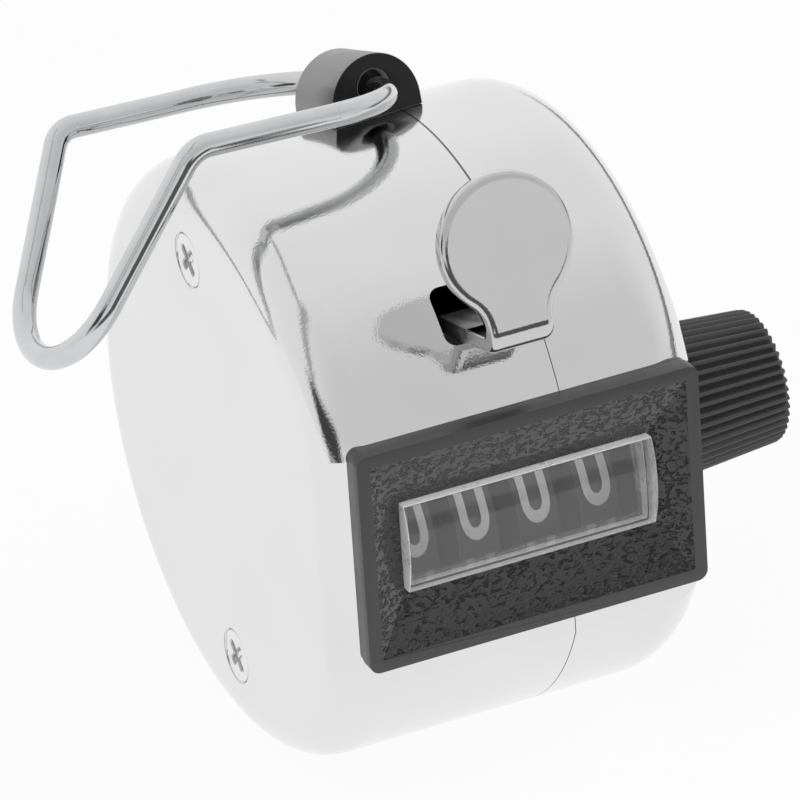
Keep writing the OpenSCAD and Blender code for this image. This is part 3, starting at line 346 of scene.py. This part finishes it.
# A finished piece, linked to its body, in place of a plain CAD solid that it hides
def linkPiece(name, bm, mats, body, replaced=None):
    data = bpy.data.meshes.new(name)
    bm.to_mesh(data)
    bm.free()
    for mat in mats:
        data.materials.append(mat)
    for face in data.polygons:
        face.use_smooth = True
    piece = bpy.data.objects.new(name, data)
    scene.collection.objects.link(piece)
    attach(piece, body)
    if replaced:
        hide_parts(replaced)
    return piece


def breakEdges(piece, width, segments, angle=32):
    bevel = piece.modifiers.new("brokenEdges", "BEVEL")
    bevel.width = width * mm
    bevel.segments = segments
    bevel.limit_method = "ANGLE"
    bevel.angle_limit = math.radians(angle)
    bevel.harden_normals = True
    bevel.miter_outer = "MITER_ARC"
    return bevel


def copyNode(name, flatAngle=0.6, joinWithin=2e-6):
    bm = bmesh.new()
    bm.from_mesh(nodes[name].data)
    bmesh.ops.remove_doubles(bm, verts=bm.verts, dist=joinWithin)
    bmesh.ops.dissolve_limit(bm, angle_limit=math.radians(flatAngle), verts=bm.verts, edges=bm.edges)
    return bm


# Lever: a flat blank with its front edge drawn round by the die, folded to stand up, and joined to the yoke inside
# the case. The blank is drawn in mm: x across, s down the paddle and along the arm, h through the sheet.
leverPiece = {
    "x": 14.75, "foldY": -22.9, "foldZ": 15.6, "paddleLean": 16.5, "armSlope": 12.0,
    "paddleR": 5.1, "rise": 7.8, "half": 2.45, "fillet": 3.0, "thick": 1.2, "foldR": 1.7, "armOut": 3.0,
    "frontEdge": 0.65, "edgeDepth": 0.36, "frontParts": 9, "backEdge": 0.14, "backParts": 3,
    "discParts": 40, "filletParts": 12, "foldParts": 14, "besideFold": 0.06,
    "overlap": 0.05, "tipMargin": 0.01, "near": 1e-4, "sideways": 0.9, "sharp": 40,
}


def foldOf(c):
    turning = math.pi / 2 + math.radians(c["paddleLean"] - c["armSlope"])
    inset = c["foldR"] * math.tan(turning / 2)
    start = c["rise"] - inset
    return turning, inset, start, start + turning * c["foldR"]


def paddleBlank(c, armEnd):
    filletX = c["half"] + c["fillet"]
    reach = c["paddleR"] + c["fillet"]
    filletS = math.sqrt(reach * reach - filletX * filletX)
    meet = math.atan2(filletS, filletX)
    right = []
    for i in range(c["discParts"] + 1):
        a = -math.pi / 2 + (meet + math.pi / 2) * i / c["discParts"]
        right.append((c["paddleR"] * math.cos(a), c["paddleR"] * math.sin(a)))
    for i in range(1, c["filletParts"] + 1):
        a = math.pi + meet * (1 - i / c["filletParts"])
        right.append((filletX + c["fillet"] * math.cos(a), filletS + c["fillet"] * math.sin(a)))
    right.append((c["half"], armEnd))
    return right + [(-x, s) for x, s in reversed(right[1:])]


def foldedPoint(c, x, s, h):
    lean, slope = math.radians(c["paddleLean"]), math.radians(c["armSlope"])
    turning, inset, start, end = foldOf(c)
    fold = Vector((c["foldY"], c["foldZ"]))
    up, inward = Vector((math.sin(lean), math.cos(lean))), Vector((math.cos(lean), -math.sin(lean)))
    if s <= start:
        spot = fold + up * (c["rise"] - s) + inward * h
    else:
        turned = min((s - start) / c["foldR"], turning)
        middle = fold + up * inset + inward * c["foldR"]
        way = Matrix.Rotation(turned, 2) @ inward
        spot = middle - way * (c["foldR"] - h)
        if s > end:
            spot += Vector((math.cos(slope), -math.sin(slope))) * (s - end)
    return ((c["x"] + x) * mm, spot.x * mm, spot.y * mm)


def everything(bm):
    return bm.verts[:] + bm.edges[:] + bm.faces[:]


def foldedLever(c):
    foldStart, foldEnd = foldOf(c)[2:]
    outline = paddleBlank(c, foldEnd + c["armOut"])
    bm = bmesh.new()
    front = [bm.verts.new((x, s, 0.0)) for x, s in outline]
    back = [bm.verts.new((x, s, c["thick"])) for x, s in outline]
    bm.faces.new(front)
    bm.faces.new(list(reversed(back)))
    for k in range(len(outline)):
        n = (k + 1) % len(outline)
        bm.faces.new((front[n], front[k], back[k], back[n]))
    bmesh.ops.recalc_face_normals(bm, faces=bm.faces)
    armTip = foldEnd + c["armOut"] - c["tipMargin"]
    for level, width, parts in ((0.0, c["frontEdge"], c["frontParts"]), (c["thick"], c["backEdge"], c["backParts"])):
        rim = [e for e in bm.edges if all(abs(v.co.z - level) < c["near"] for v in e.verts)
               and min(v.co.y for v in e.verts) < armTip]
        bmesh.ops.bevel(bm, geom=rim, offset=width, segments=parts, profile=0.5, affect="EDGES", clamp_overlap=False)
    # the die draws the front edge over: wide across the face, shallow in the thickness
    for vert in bm.verts:
        if vert.co.z <= c["frontEdge"] + c["near"]:
            vert.co.z *= c["edgeDepth"] / c["frontEdge"]
    cuts = [foldStart - c["besideFold"], foldEnd + c["besideFold"]]
    cuts += [foldStart + (foldEnd - foldStart) * k / c["foldParts"] for k in range(c["foldParts"] + 1)]
    for cut in cuts:
        bmesh.ops.bisect_plane(bm, geom=everything(bm), plane_co=(0, cut, 0), plane_no=(0, 1, 0))
    bm.normal_update()
    for face in bm.faces:
        if abs(face.normal.x) > c["sideways"] and face.calc_center_median().y > foldStart:
            face.material_index = 1
    for vert in bm.verts:
        vert.co = foldedPoint(c, *vert.co)
    return bm


def joinYoke(bm, c):
    yoke = copyNode("thumb_lever")
    slope = math.radians(c["armSlope"])
    cutAt = foldOf(c)[1] + c["armOut"] - c["overlap"]
    cutY, cutZ = c["foldY"] + math.cos(slope) * cutAt, c["foldZ"] - math.sin(slope) * cutAt
    bmesh.ops.bisect_plane(yoke, geom=everything(yoke), clear_inner=True, plane_co=(0, cutY * mm, cutZ * mm),
                           plane_no=(0, math.cos(slope), -math.sin(slope)))
    bmesh.ops.holes_fill(yoke, edges=[e for e in yoke.edges if e.is_boundary])
    for face in yoke.faces:
        face.material_index = 1
    rest = bpy.data.meshes.new("leverYoke")
    yoke.to_mesh(rest)
    yoke.free()
    bm.from_mesh(rest)
    bpy.data.meshes.remove(rest)
    bmesh.ops.recalc_face_normals(bm, faces=bm.faces)
    return bm


lever = linkPiece("stampedLever", joinYoke(foldedLever(leverPiece), leverPiece), [satinNickel, shearedNickel],
                  "lever", "thumb_lever")
lever.data.set_sharp_from_angle(angle=math.radians(leverPiece["sharp"]))
flats = lever.modifiers.new("flatFaces", "WEIGHTED_NORMAL")
flats.weight = 100
flats.keep_sharp = True

# Bezel: smooth rim and walls, grained slopes
bezelPiece = {"edge": 0.16, "segments": 3, "angle": 12, "weld": 5e-6, "slopeLow": 0.75, "slopeHigh": 0.995}
bm = copyNode("bezel")
for face in bm.faces:
    if bezelPiece["slopeLow"] < -face.normal.y < bezelPiece["slopeHigh"]:
        face.material_index = 1
bezel = linkPiece("mouldedBezel", bm, [mouldedAbs, grainedAbs], "case", "bezel")
breakEdges(bezel, bezelPiece["edge"], bezelPiece["segments"], bezelPiece["angle"])
bezel.modifiers.new("closeCorners", "WELD").merge_threshold = bezelPiece["weld"]

# Lens: clear moulding with a crowned front, hollow behind, on a flange that sits behind the bezel
lensPiece = {
    "width": 19.6, "height": 6.95, "x": 14.9, "z": 1.7, "edgeY": -21.3, "crown": 0.65, "front": 1.1, "wall": 0.4,
    "flange": 0.6, "steps": 24, "edge": 0.11, "segments": 3, "near": 0.01,
}


def crownedLens(c, low, high):
    bm = bmesh.new()
    half, tall = c["width"] / 2, c["height"] / 2
    crownR = (tall * tall + c["crown"] ** 2) / (2 * c["crown"])
    flangeX, flangeZ = (high.x - low.x) / 2 / mm, (high.z - low.z) / 2 / mm
    backY = high.y / mm
    flangeY = backY - c["flange"]
    inner = half - c["wall"], tall - c["wall"]

    def at(x, y, z):
        return bm.verts.new(((c["x"] + x) * mm, y * mm, (c["z"] + z) * mm))

    def ring(x, z, y):
        return [at(-x, y, -z), at(x, y, -z), at(x, y, z), at(-x, y, z)]

    arch = []
    for i in range(c["steps"] + 1):
        z = -tall + 2 * tall * i / c["steps"]
        arch.append((c["edgeY"] - math.sqrt(crownR * crownR - z * z) + crownR - c["crown"], z))
    left, right = [at(-half, y, z) for y, z in arch], [at(half, y, z) for y, z in arch]
    for k in range(c["steps"]):
        bm.faces.new((left[k], right[k], right[k + 1], left[k + 1]))
    base = ring(half, tall, flangeY)
    bm.faces.new((left[0], base[0], base[1], right[0]))
    bm.faces.new((left[-1], right[-1], base[2], base[3]))
    bm.faces.new(left + [base[3], base[0]])
    bm.faces.new(list(reversed(right)) + [base[1], base[2]])
    steps = [base, ring(flangeX, flangeZ, flangeY), ring(flangeX, flangeZ, backY), ring(*inner, backY),
             ring(*inner, c["edgeY"] + c["front"])]
    for a, b in zip(steps, steps[1:]):
        for k in range(4):
            n = (k + 1) % 4
            bm.faces.new((a[k], b[k], b[n], a[n]))
    bm.faces.new(steps[-1])
    bmesh.ops.recalc_face_normals(bm, faces=bm.faces)
    for face in bm.faces:
        middle = face.calc_center_median() / mm
        atSide = abs(abs(middle.x - c["x"]) - half) < c["near"]
        atEdge = abs(abs(middle.z - c["z"]) - tall) < c["near"]
        face.material_index = 1 if atSide or atEdge else 0
    return bm


lens = linkPiece("clearLens", crownedLens(lensPiece, *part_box("window_lens")), [clearAcrylic, frostedAcrylic],
                 "case", "window_lens")
breakEdges(lens, lensPiece["edge"], lensPiece["segments"])

# Ferrule: the barrel as built, with its edges broken
ferrulePiece = {"edge": 0.18, "segments": 3}
ferrule = linkPiece("ringFerrule", copyNode("ring_ferrule"), [nylonWithPaintedSheen],
                    "case", "ring_ferrule")
breakEdges(ferrule, ferrulePiece["edge"], ferrulePiece["segments"])

# Screws: the cross recess worn shallow, painted shade on the broken edges
screwPiece = {
    "edge": 0.14, "segments": 3, "recess": 0.7, "shallow": 0.45, "reach": 1.3, "skin": 0.05,
    "at": [(2.6, 15.6), (-0.6, -15.6)],
}


def inRecess(c, co):
    return any(math.hypot(co.y / mm - y, co.z / mm - z) < c["reach"] for y, z in c["at"])


bm = copyNode("case_screws")
screwTop = min(v.co.x for v in bm.verts)
for vert in bm.verts:
    deep = vert.co.x - screwTop
    if screwPiece["skin"] * mm < deep < screwPiece["recess"] * mm + 1e-6 and inRecess(screwPiece, vert.co):
        vert.co.x = screwTop + deep * screwPiece["shallow"]
screws = linkPiece("crossScrews", bm, [zincSteel, zincRimShade], "case", "case_screws")
# the broken edges take the darker finish, painted shade on the rims
breakEdges(screws, screwPiece["edge"], screwPiece["segments"]).material = 1
print("dressed pieces made")

# Reset knob: a tapered moulding with rolling ribs that run out over its rounded end
knobPiece = {
    "ribs": 44, "ribDepth": 0.42, "ribRoll": 1.3, "perRib": 8, "baseR": 5.95, "endR": 5.05,
    "bore": 1.55, "boreDeep": 8.0, "cap": 3.9, "capEdge": 0.12, "sink": 0.35, "hub": 1.2, "sharp": 50,
    "along": (2.0, 4.0, 6.0, 8.0, 9.6),
}


def knobProfile(c, length):
    def taper(t):
        return c["baseR"] + (c["endR"] - c["baseR"]) * t / length

    floorX = length - c["sink"]
    # along the axis, radius, and how strongly the ribs show there
    rings = [(c["boreDeep"], c["bore"], 0), (0.0, c["bore"], 0)]
    rings += [(0.0, taper(0) - 0.5, 0.6), (0.06, taper(0) - 0.22, 0.9), (0.2, taper(0.2) - 0.06, 1)]
    rings += [(t, taper(t), 1) for t in (0.4, *c["along"], length - 0.4)]
    rings += [(length - 0.15, taper(length) - 0.04, 1), (length - 0.04, taper(length) - 0.12, 1),
              (length, taper(length) - 0.26, 0.9)]
    rings += [(length, c["cap"] + c["capEdge"], 0), (length - 0.1, c["cap"], 0), (floorX, c["cap"] - c["capEdge"], 0),
              (floorX, c["hub"], 0)]
    return rings


def ribbedKnob(c, low, high):
    middleY, middleZ = (low.y + high.y) / 2, (low.z + high.z) / 2
    count = c["ribs"] * c["perRib"]
    bm = bmesh.new()
    loops = []
    for along, radius, show in knobProfile(c, (high.x - low.x) / mm):
        loop = []
        for k in range(count):
            turn = 2 * math.pi * k / count
            wave = 0.5 + 0.5 * math.cos(2 * math.pi * k / c["perRib"])
            r = (radius - c["ribDepth"] * show * wave ** c["ribRoll"]) * mm
            loop.append(bm.verts.new((low.x + along * mm, middleY + r * math.cos(turn), middleZ + r * math.sin(turn))))
        loops.append(loop)
    for a, b in zip(loops, loops[1:]):
        for k in range(count):
            n = (k + 1) % count
            bm.faces.new((a[k], b[k], b[n], a[n]))
    bm.faces.new(loops[0])
    bm.faces.new(loops[-1])
    bmesh.ops.recalc_face_normals(bm, faces=bm.faces)
    return bm


knob = linkPiece("ribbedKnob", ribbedKnob(knobPiece, *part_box("reset_knob")), [mouldedAbs],
                 "reset", "reset_knob")
knob.data.set_sharp_from_angle(angle=math.radians(knobPiece["sharp"]))
print("knob made")

# Digits: foil strokes on each wheel, with zero at the window. The crowned window stretches them upwards, so their
# bows and strokes are drawn squat.
digits = {
    "width": 2.25, "height": 4.9, "stroke": 0.62, "zeroAngle": 167.5, "pitch": 36, "lift": 0.03, "foil": 0.02,
    "steps": 10, "piece": 0.3, "squat": 0.78,
}


def bow(cx, cy, rx, ry, start, end, steps):
    span = [math.radians(start + (end - start) * i / steps) for i in range(steps + 1)]
    return [(cx + rx * math.cos(a), cy + ry * math.sin(a)) for a in span]


# The middle lines of a digit, each with whether it closes; x and y are half its width and height, q a quarter of it
def glyphStrokes(digit, w, h, n):
    x, y, q = w / 2, h / 2, h / 4
    r = digits["squat"] * x
    top, low = h / 2 - r, -(h / 2 - r)
    if digit == 0:
        return [(bow(0, top, x, r, 0, 180, n) + bow(0, low, x, r, 180, 360, n), True)]
    if digit == 1:
        return [([(-0.5 * x, y - 0.9), (0.05 * x, y), (0.05 * x, -y)], False)]
    if digit == 2:
        return [(bow(0, y - r, x, r, 170, -25, n) + [(-x, -y), (x, -y)], False)]
    if digit == 3:
        return [(bow(0, y - q, x, q, 150, -90, n), False), (bow(0, -y + q, x, q, 90, -150, n), False)]
    if digit == 4:
        return [([(x * 0.5, -y), (x * 0.5, y), (-x, -y * 0.35), (x, -y * 0.35)], False)]
    if digit == 5:
        neck = [(x * 0.9, y), (-x * 0.8, y), (-x * 0.85, 0.1 * y)]
        return [(neck + bow(0, -y + 1.2 * q, x, 1.2 * q, 130, -150, n), False)]
    if digit == 6:
        return [(bow(0, -y + 1.15 * q, x, 1.15 * q, 0, 360, n), True),
                ([(-x, -y + 1.15 * q), (-x, top)] + bow(0, top, x, r, 180, 30, n), False)]
    if digit == 7:
        return [([(-x, y), (x, y), (-0.2 * x, -y)], False)]
    if digit == 8:
        return [(bow(0, y - 0.93 * q, 0.88 * x, 0.93 * q, 0, 360, n), True),
                (bow(0, -y + 1.07 * q, x, 1.07 * q, 0, 360, n), True)]
    return [(bow(0, y - 1.15 * q, x, 1.15 * q, 0, 360, n), True),
            ([(x, y - 1.15 * q), (x, low)] + bow(0, low, x, r, 0, -150, n), False)]


def layStroke(bm, points, closed, half, onWheel):
    if closed and math.dist(points[0], points[-1]) < 1e-6:
        points = points[:-1]
    fine = []
    last = len(points) if closed else len(points) - 1
    for i in range(last):
        a, b = points[i], points[(i + 1) % len(points)]
        parts = max(1, int(math.dist(a, b) / digits["piece"]))
        fine += [(a[0] + (b[0] - a[0]) * k / parts, a[1] + (b[1] - a[1]) * k / parts) for k in range(parts)]
    if not closed:
        fine.append(points[-1])
    rails = []
    for i, p in enumerate(fine):
        before = fine[i - 1] if closed or i > 0 else p
        after = fine[(i + 1) % len(fine)] if closed or i < len(fine) - 1 else p
        dx, dy = after[0] - before[0], after[1] - before[1]
        size = math.hypot(dx, dy)
        nx, ny = -dy / size * half, dx / size * half * digits["squat"]
        sides = onWheel(p[0] + nx, p[1] + ny), onWheel(p[0] - nx, p[1] - ny)
        rails.append([bm.verts.new(side) for side in sides])
    for i in range(len(rails) if closed else len(rails) - 1):
        a, b = rails[i], rails[(i + 1) % len(rails)]
        bm.faces.new((a[0], a[1], b[1], b[0]))


for body in ("thousands", "hundreds", "tens", "units"):
    low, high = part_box(body + "_wheel")
    centreY, centreZ = (low.y + high.y) / 2, (low.z + high.z) / 2
    wheelR = (high.y - low.y) / 2 + digits["lift"] * mm
    centreX = next(j for j in frame["joints"] if j["name"] == body + "_turn")["pos_m"][0]
    inner = digits["width"] - digits["stroke"], digits["height"] - digits["stroke"]
    bm = bmesh.new()
    for digit in range(10):
        middle = math.radians(digits["zeroAngle"] + digits["pitch"] * digit)

        def onWheel(x, y):
            angle = middle - y * mm / wheelR
            return (centreX + x * mm, centreY + wheelR * math.cos(angle), centreZ + wheelR * math.sin(angle))

        for points, closed in glyphStrokes(digit, *inner, digits["steps"]):
            layStroke(bm, points, closed, digits["stroke"] / 2, onWheel)
    bmesh.ops.recalc_face_normals(bm, faces=bm.faces)
    printed = linkPiece(body + "Digits", bm, [whiteFoil], body)
    printed.data.shade_flat()
    sheet = printed.modifiers.new("foil", "SOLIDIFY")
    sheet.thickness, sheet.offset = digits["foil"] * mm, -1.0
print("digits made")

# Floor: white sweep of paper under the case, with faint fibres, which keeps a light shadow. Lengths in metres
floor = {"left": -0.8, "right": 0.8, "front": -0.125, "back": 1.2, "drop": 0.0002,
         "white": 0.93, "paper": "#f4f4f4", "fibre": "#fbfbfb", "fibreMm": 3.0}
bm = bmesh.new()
sides = (("left", "front"), ("right", "front"), ("right", "back"), ("left", "back"))
bm.faces.new([bm.verts.new((floor[x], floor[y], 0.0)) for x, y in sides])
data = bpy.data.meshes.new("studioFloor")
bm.to_mesh(data)
bm.free()
floorObject = bpy.data.objects.new("studioFloor", data)
floorObject.location = (middleX, 0.0, cadBox[0][2] - floor["drop"])
scene.collection.objects.link(floorObject)
sweepPaper, tree, place = newMaterial("sweepPaper")
fibre = addNode(tree, "ShaderNodeTexNoise", {"Vector": place, "Scale": perMetre(floor["fibreMm"]), "Detail": 4.0})
tone = addNode(tree, "ShaderNodeMixRGB", {
    "Fac": fibre.outputs[0], "Color1": hexColour(floor["paper"]), "Color2": hexColour(floor["fibre"])})
paper = addNode(tree, "ShaderNodeBsdfDiffuse", {"Color": tone.outputs[0]})
glow = addNode(tree, "ShaderNodeEmission", {"Color": (1, 1, 1, 1), "Strength": 1.0})
path = addNode(tree, "ShaderNodeLightPath").outputs
seen = path["Is Camera Ray"]
for ray in ("Is Glossy Ray", "Is Transmission Ray"):
    seen = addNode(tree, "ShaderNodeMath", {0: seen, 1: path[ray]}, operation="MAXIMUM").outputs[0]
part = addNode(tree, "ShaderNodeMath", {0: seen, 1: floor["white"]}, operation="MULTIPLY")
mixed = addNode(tree, "ShaderNodeMixShader", {0: part.outputs[0], 1: paper.outputs[0], 2: glow.outputs[0]})
addNode(tree, "ShaderNodeOutputMaterial", {"Surface": mixed.outputs[0]})
data.materials.append(sweepPaper)

# Studio tent: white for the camera. The mirror sees its zones, laid one over another: dimmer above and in front, seams
# and a dark wing on the left, the photographer, the floor beyond the sweep. Matt surfaces get an even fill.
# A zone has its brightness and its limits: an axis, where it starts and where it is full. The slant axis is Y + slope X.
tent = {"fill": 0.55, "back": 0.97, "slope": -1.26, "zones": {
    "top": (0.87, [("Y", 0.8, 0.0)]),
    "front": (0.7, [("Y", 0.0, -0.75)]),
    "frontLow": (0.9, [("Y", -0.3, -0.75), ("Z", 0.4, 0.1)]),
    "gapRight": (0.25, [("Z", 0.11, 0.04), ("X", 0.45, 0.7), ("Y", -0.45, -0.2)]),
    "seam": (0.4, [("X", -0.2, -0.35), ("Y", -0.28, -0.22), ("Y", -0.12, -0.18)]),
    "cornerSeam": (0.42, [("slant", 0.31, 0.39), ("slant", 0.51, 0.43), ("Z", 0.6, 0.85),
                          ("X", -0.04, -0.12), ("X", -0.5, -0.38)]),
    "wing": (0.06, [("X", -0.6, -0.75), ("Y", -0.66, -0.5), ("Y", 0.0, -0.12),
                    ("Z", 0.42, 0.28), ("Z", -0.01, 0.09)]),
    "photographer": (0.1, [("Y", -0.75, -0.9), ("X", -0.38, -0.24), ("X", 0.12, 0.0), ("Z", 0.28, 0.14)]),
    "room": (0.12, [("Z", 0.01, -0.05), ("Y", -0.5, -0.75), ("X", 0.6, 0.48)])}}
white = (1.0, 1.0, 1.0, 1.0)
world = bpy.data.worlds.new("studioTent")
scene.world = world
world.use_nodes = True
tree = world.node_tree
tree.nodes.clear()
direction = addNode(tree, "ShaderNodeTexCoord").outputs["Generated"]
way = dict(addNode(tree, "ShaderNodeSeparateXYZ", {0: direction}).outputs.items())
way["slant"] = addNode(tree, "ShaderNodeMath", {0: way["X"], 1: tent["slope"], 2: way["Y"]},
                       operation="MULTIPLY_ADD").outputs[0]
seen = (tent["back"], tent["back"], tent["back"], 1.0)
for tone, limits in tent["zones"].values():
    mask = 1.0
    for axis, start, full in limits:
        edge = addNode(tree, "ShaderNodeMapRange", {"Value": way[axis], "From Min": start, "From Max": full},
                       interpolation_type="SMOOTHSTEP")
        mask = addNode(tree, "ShaderNodeMath", {0: mask, 1: edge.outputs[0]}, operation="MULTIPLY").outputs[0]
    seen = addNode(tree, "ShaderNodeMixRGB", {
        "Fac": mask, "Color1": seen, "Color2": (tone, tone, tone, 1.0)}).outputs[0]
mirrorView = addNode(tree, "ShaderNodeBackground", {"Color": seen, "Strength": 1.0})
lensView = addNode(tree, "ShaderNodeBackground", {"Color": white, "Strength": 1.0})
fillLight = addNode(tree, "ShaderNodeBackground", {"Color": white, "Strength": tent["fill"]})
path = addNode(tree, "ShaderNodeLightPath").outputs
shiny = addNode(tree, "ShaderNodeMath", {0: path["Is Glossy Ray"], 1: path["Is Transmission Ray"]},
                operation="MAXIMUM")
first = addNode(tree, "ShaderNodeMixShader", {
    0: shiny.outputs[0], 1: fillLight.outputs[0], 2: mirrorView.outputs[0]})
final = addNode(tree, "ShaderNodeMixShader", {
    0: path["Is Camera Ray"], 1: first.outputs[0], 2: lensView.outputs[0]})
addNode(tree, "ShaderNodeOutputWorld", {"Surface": final.outputs[0]})

# Two soft boxes over the counter: place, size in metres, watts
lamps = {"keyBox": ((-0.25, -0.3, 0.5), 0.45, 1.1), "rightBox": ((0.4, -0.15, 0.35), 0.4, 0.5)}
for name, (spot, size, watts) in lamps.items():
    data = bpy.data.lights.new(name, "AREA")
    data.shape = "SQUARE"
    data.size = size
    data.energy = watts
    lamp = bpy.data.objects.new(name, data)
    lamp.location = spot
    lamp.rotation_euler = (Vector((middleX, 0, 0)) - Vector(spot)).to_track_quat("-Z", "Y").to_euler()
    lamp.visible_glossy = False
    scene.collection.objects.link(lamp)
scene.view_settings.view_transform = "Standard"
print("studio lit")
